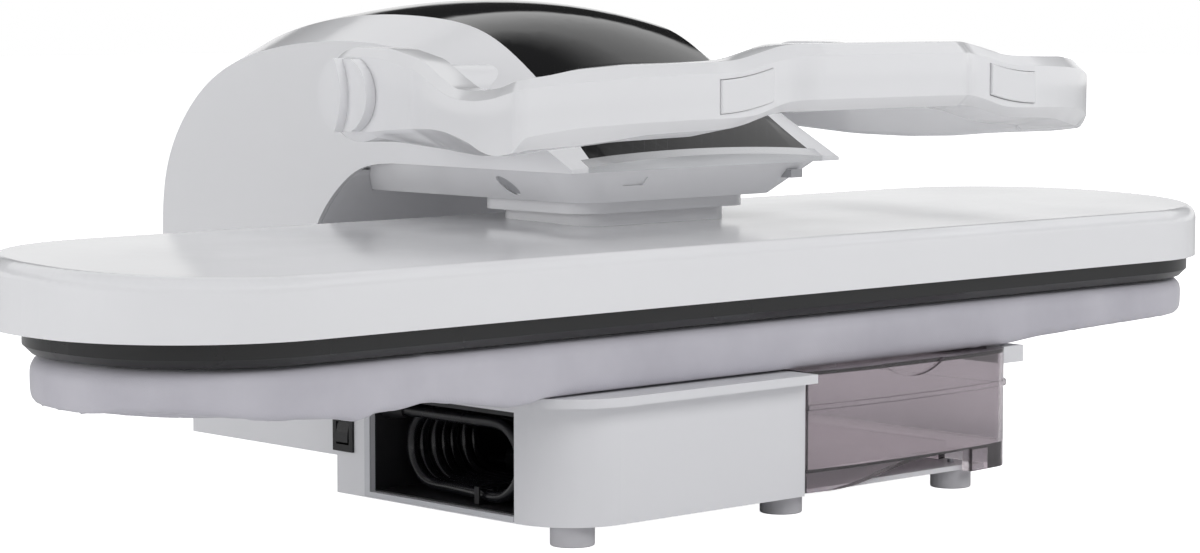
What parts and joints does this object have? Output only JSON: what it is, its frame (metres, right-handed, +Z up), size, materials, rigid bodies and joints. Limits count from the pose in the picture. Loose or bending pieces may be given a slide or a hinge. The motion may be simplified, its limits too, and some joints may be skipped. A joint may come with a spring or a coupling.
{
  "type": "steam press",
  "caption": "Bench-top steam press: a long padded board, a heated press plate on a hinged arm with a pull-down handle, a slide-in water tank and a cord bay.",
  "frame": {"origin": "on the table, under the middle of the press's overall box", "axes": "+X along the board to the user's right, +Y to the rear, +Z up"},
  "size_m": [0.9, 0.5411, 0.2997],
  "materials": {
    "white_gloss": "glossy white moulding",
    "white_satin": "satin white moulding",
    "black_trim": "black, low sheen",
    "plate_aluminium": "ground",
    "steel": "plated steel",
    "fibre": "pressed mineral fibre",
    "pad_cloth": "silver-lavender coated cloth",
    "foam": "open foam and felt",
    "grey_rubber": "light grey",
    "dark_plastic": "dark grey",
    "light_trim": "light grey bead",
    "cord_black": "black sheath",
    "plug_black": "black moulding",
    "switch_black": "black with a white O and I",
    "tank_clear": "clear smoky plastic",
    "seal_rubber": "soft black",
    "hose_rubber": "pale silicone",
    "circuit_green": "circuit board",
    "bush_brass": "turned",
    "panel_black": "black with a fine diamond grain",
    "key_grey": "grey keys",
    "catch_grey": "grey",
    "strip_black": "mirror-black moulding",
    "trim_silver": "silver-white trim"
  },
  "bodies": {
    "base": {"board_tray": "white_satin", "board_plate": "steel", "foam_pad": "foam", "pad_cover": "pad_cloth", "base_housing": "white_satin", "base_plate": "white_satin", "feet": "grey_rubber", "foot_screws": "steel", "cord_bay_liner": "dark_plastic", "bay_trim": "light_trim", "mains_cord_hank": "cord_black", "mains_cord_tail": "cord_black", "mains_plug": "plug_black", "cord_gland": "plug_black", "cord_tie": "plug_black", "switch_bezel": "switch_black", "water_inlet": "dark_plastic", "inlet_seal": "seal_rubber", "water_pump": "dark_plastic", "pump_hose": "hose_rubber", "power_board": "circuit_green", "hinge_bracket": "steel", "hinge_pin": "steel", "lift_springs": "steel"},
    "tank": {"water_tank": "tank_clear", "tank_lid": "tank_clear", "tank_valve": "plug_black"},
    "rocker": {"switch_rocker": "switch_black"},
    "head": {"arm_frame": "steel", "arm_bushes": "bush_brass", "hood_side_left": "white_gloss", "hood_side_right": "white_gloss", "hood_strip": "strip_black", "control_panel": "panel_black", "panel_trim": "trim_silver", "arch_panel": "white_gloss", "arm_underpan": "white_gloss", "arm_caps": "catch_grey", "arm_collar": "white_gloss", "side_bosses": "white_gloss"},
    "key_left": {"key_left": "key_grey"},
    "key_middle": {"key_middle": "key_grey"},
    "key_right": {"key_right": "key_grey"},
    "handle": {"handle_frame": "white_gloss", "handle_core": "steel", "cam_shaft": "steel", "press_cam": "steel"},
    "button_left": {"steam_button_left": "white_gloss"},
    "button_right": {"steam_button_right": "white_gloss"},
    "knob_left": {"side_knob_left": "white_gloss"},
    "knob_right": {"side_knob_right": "white_gloss"},
    "press": {"press_cover": "white_gloss", "press_rim": "black_trim", "heater_plate": "plate_aluminium", "heating_element": "steel", "steam_chamber": "steel", "thermostat": "steel", "insulation_mat": "fibre", "pedestal": "white_gloss", "press_yoke": "steel"}
  },
  "joints": [
    {"name": "head_hinge", "type": "hinge", "parent": "base", "child": "head", "pos_m": [0, 0.1495, 0.13], "axis": [-1, 0, 0], "range_deg": [0, 50]},
    {"name": "handle_pivot", "type": "hinge", "parent": "head", "child": "handle", "pos_m": [0, -0.0305, 0.246], "axis": [-1, 0, 0], "range_deg": [0, 30]},
    {"name": "press_lift", "type": "slide", "parent": "head", "child": "press", "axis": [0, 0, 1], "range_m": [0, 0.0027]},
    {"name": "tank_slide", "type": "slide", "parent": "base", "child": "tank", "axis": [0, -1, 0], "range_m": [0, 0.16]},
    {"name": "switch_rock", "type": "hinge", "parent": "base", "child": "rocker", "pos_m": [-0.177, -0.0035, 0.04775], "axis": [0, -1, 0], "range_deg": [0, 16]},
    {"name": "knob_left_turn", "type": "hinge", "parent": "handle", "child": "knob_left", "pos_m": [-0.195, -0.0305, 0.246], "axis": [-1, 0, 0], "range_deg": [0, 90]},
    {"name": "knob_right_turn", "type": "hinge", "parent": "handle", "child": "knob_right", "pos_m": [0.195, -0.0305, 0.246], "axis": [1, 0, 0], "range_deg": [0, 90]},
    {"name": "button_left_press", "type": "slide", "parent": "handle", "child": "button_left", "axis": [0, 1, 0], "range_m": [0, 0.002], "stiffness_N_per_m": 300},
    {"name": "button_right_press", "type": "slide", "parent": "handle", "child": "button_right", "axis": [0, 1, 0], "range_m": [0, 0.002], "stiffness_N_per_m": 300},
    {"name": "key_left_press", "type": "slide", "parent": "head", "child": "key_left", "axis": [0, 0.6355, -0.7721], "range_m": [0, 0.001], "stiffness_N_per_m": 200},
    {"name": "key_middle_press", "type": "slide", "parent": "head", "child": "key_middle", "axis": [0, 0.6355, -0.7721], "range_m": [0, 0.001], "stiffness_N_per_m": 200},
    {"name": "key_right_press", "type": "slide", "parent": "head", "child": "key_right", "axis": [0, 0.6355, -0.7721], "range_m": [0, 0.001], "stiffness_N_per_m": 200}
  ],
  "couplings": [
    {"joint": "press_lift", "follows": "handle_pivot", "m_per_rad": 0.0051566}
  ]
}
